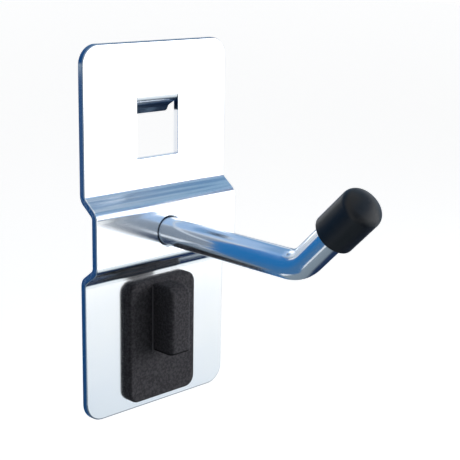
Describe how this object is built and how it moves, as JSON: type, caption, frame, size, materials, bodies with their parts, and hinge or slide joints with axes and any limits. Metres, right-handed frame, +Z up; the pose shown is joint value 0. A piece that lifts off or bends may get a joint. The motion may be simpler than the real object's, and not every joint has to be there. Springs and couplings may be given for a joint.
{
  "type": "tool hook",
  "caption": "Perforated-panel tool hook: folded plated-steel back plate with a hanging lug, a riveted bar bent up at its capped end, and a black push-in lock that plugs into the panel below.",
  "frame": {"origin": "on the panel's face, in the middle of the plate's width, level with the edge of the panel's hole that it hangs on", "axes": "+Z up, +Y back into the panel, +X to the right of someone facing the panel; the hook points to -Y"},
  "size_m": [0.0286, 0.0473, 0.0578],
  "materials": {
    "plated_sheet": "bright zinc-plated sheet steel",
    "plated_rod": "bright zinc-plated drawn steel",
    "cap_vinyl": "smooth black vinyl",
    "lock_plastic": "black, fine moulded grain"
  },
  "bodies": {
    "hook": {"back_plate": "plated_sheet", "hook_rod": "plated_rod", "end_cap": "cap_vinyl"},
    "lock": {"lock_clip": "lock_plastic"}
  },
  "joints": [
    {"name": "lock_pull", "type": "slide", "parent": "hook", "child": "lock", "axis": [0, -1, 0], "range_m": [0, 0.0036]}
  ]
}
